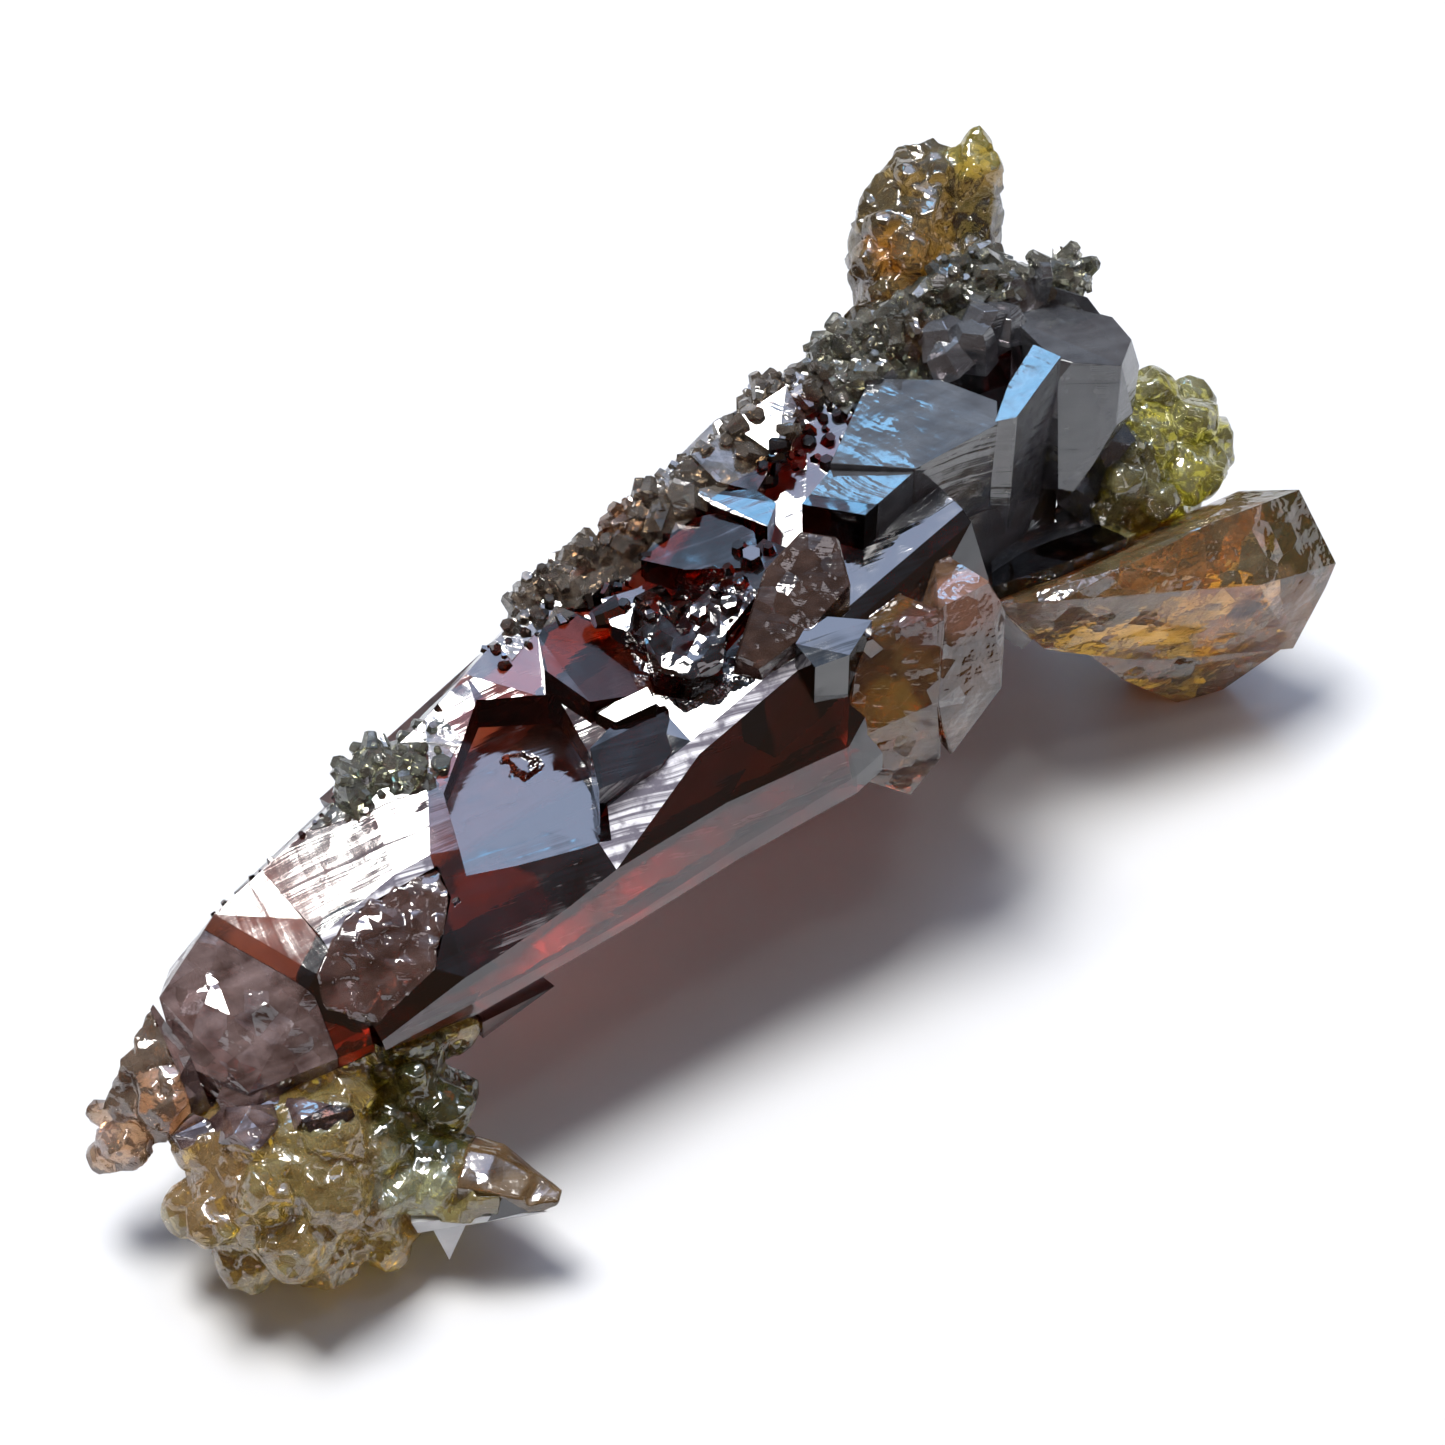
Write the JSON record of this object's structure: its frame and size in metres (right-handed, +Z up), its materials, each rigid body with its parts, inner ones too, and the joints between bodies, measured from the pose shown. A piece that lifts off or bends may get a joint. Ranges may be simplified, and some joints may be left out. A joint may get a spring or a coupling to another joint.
{
  "type": "zincite crystal",
  "caption": "Natural zincite cluster: a long dark red crystal bridging two supports, with a slate blocky head, amber and yellow-green crystals on its ends and a rough crest. A display specimen.",
  "frame": {"origin": "on the ground, under the middle of the specimen's bounding box", "axes": "+X along the long crystal, towards the blocky head and the brown prism; +Y to the rear, towards the crest; +Z up"},
  "size_m": [0.0386, 0.0158, 0.0149],
  "materials": {
    "zincite_red": "dark red-brown clear crystal with glossy flat faces",
    "zincite_slate": "near-opaque slate-grey crystal, bluish gloss on flat faces",
    "zincite_crust": "small grey-brown crystals, glassy",
    "zincite_amber": "clear amber to brown crystal, glossy",
    "zincite_green": "clear yellow-green lumpy crystal, glossy",
    "zincite_pale": "thin pale bluish crystal edges"
  },
  "bodies": {
    "root": {"zincite_crystal": "zincite_red"}
  },
  "joints": []
}
